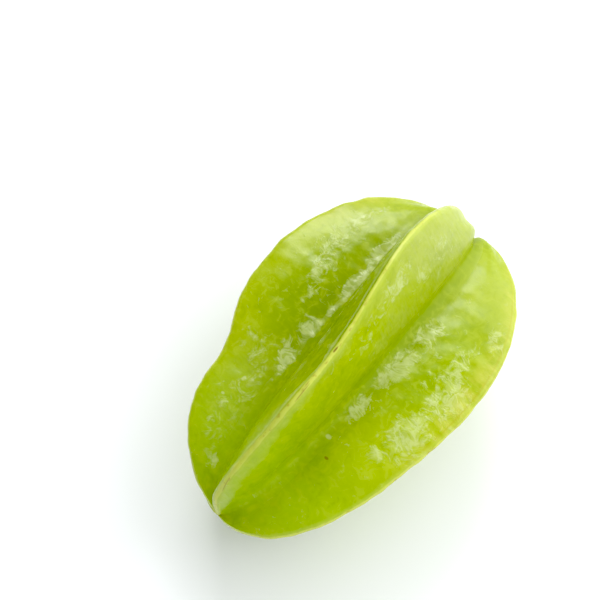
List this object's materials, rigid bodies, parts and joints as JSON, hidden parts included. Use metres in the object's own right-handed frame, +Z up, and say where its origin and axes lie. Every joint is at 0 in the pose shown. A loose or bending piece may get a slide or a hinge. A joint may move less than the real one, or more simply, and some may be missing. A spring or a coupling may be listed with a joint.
{
  "type": "star fruit",
  "caption": "Whole star fruit (carambola) lying on its ribs: winged yellow-green body with thin crests, a blunt apex and a stub of stalk in a sunken pit.",
  "frame": {"origin": "on the surface that the fruit rests on, under the middle of its bounding box", "axes": "+X along the fruit from the apex to the stem end, +Y towards its left side, +Z up through the top rib"},
  "size_m": [0.1028, 0.068, 0.065],
  "materials": {
    "skin": "waxy, half-gloss, slightly translucent yellow-green skin, paler and yellower along the crests"
  },
  "bodies": {
    "root": {"star_fruit": "skin"}
  },
  "joints": []
}
